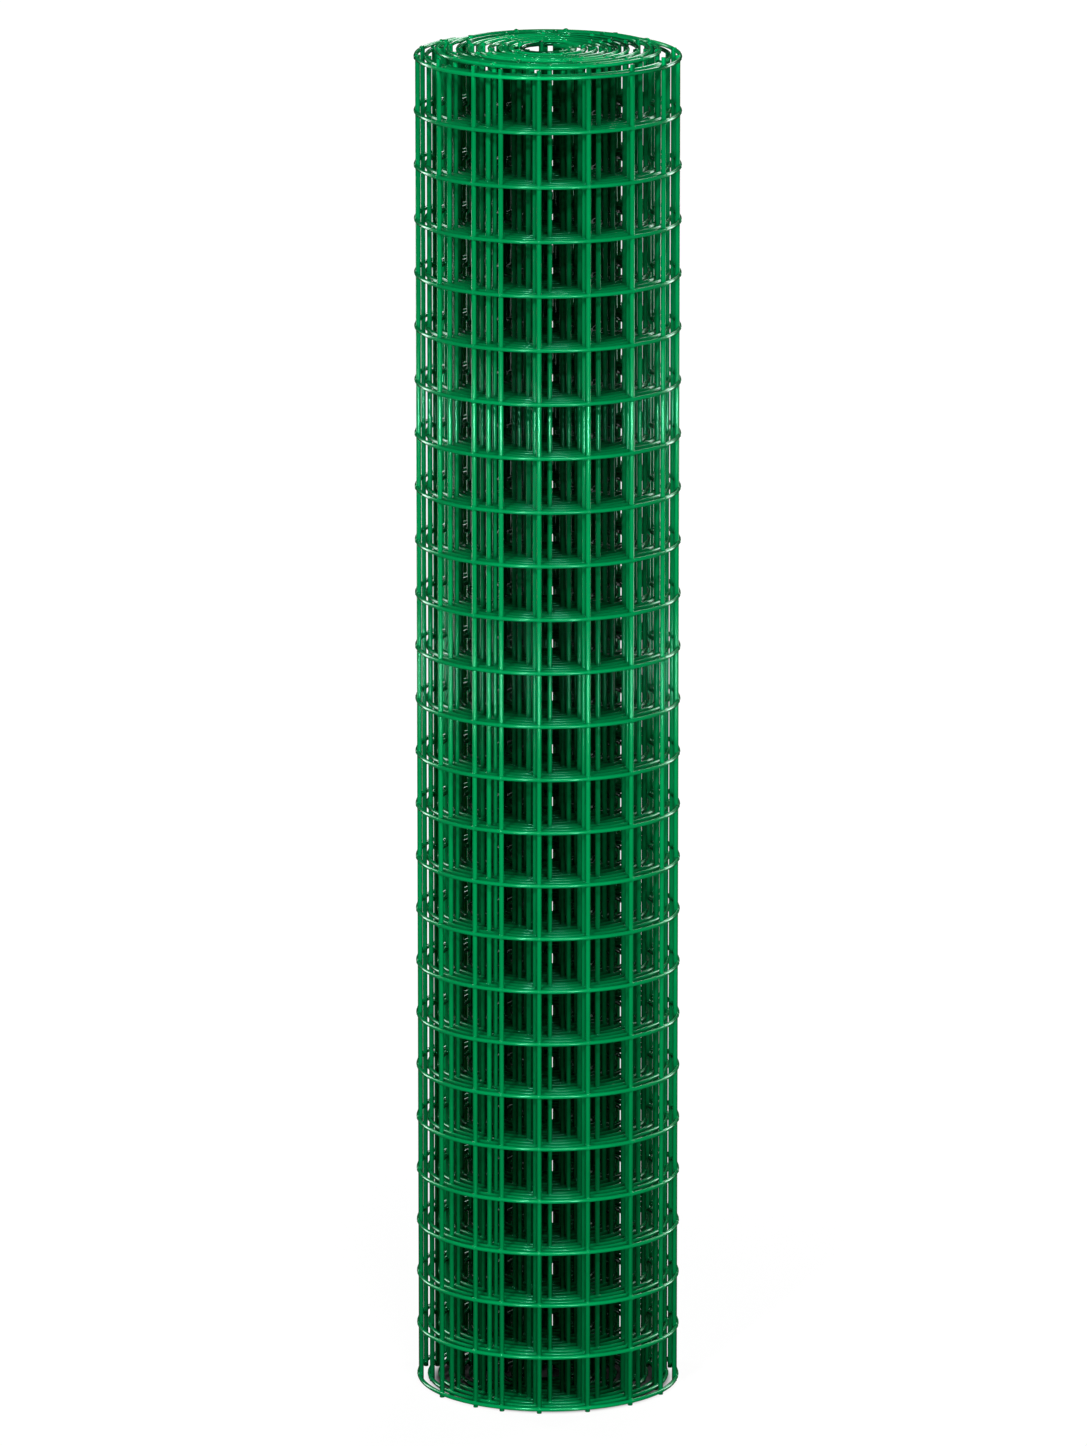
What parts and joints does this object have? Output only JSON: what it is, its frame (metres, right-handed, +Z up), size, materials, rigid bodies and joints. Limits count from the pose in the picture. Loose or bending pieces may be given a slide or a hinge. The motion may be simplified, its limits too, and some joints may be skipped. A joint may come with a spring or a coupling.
{
  "type": "roll of wire fencing",
  "caption": "Tall upright roll of green plastic-coated welded mesh fencing, wound in a tight spiral round a narrow open bore.",
  "frame": {"origin": "on the roll's own axis, at the height of its foot", "axes": "+Z up the roll, from the end it stands on to the other; -Y is the front"},
  "size_m": [0.2507, 0.2439, 1.27],
  "materials": {
    "coated_wire": "glossy"
  },
  "bodies": {
    "root": {"mesh_roll": "coated_wire"}
  },
  "joints": []
}
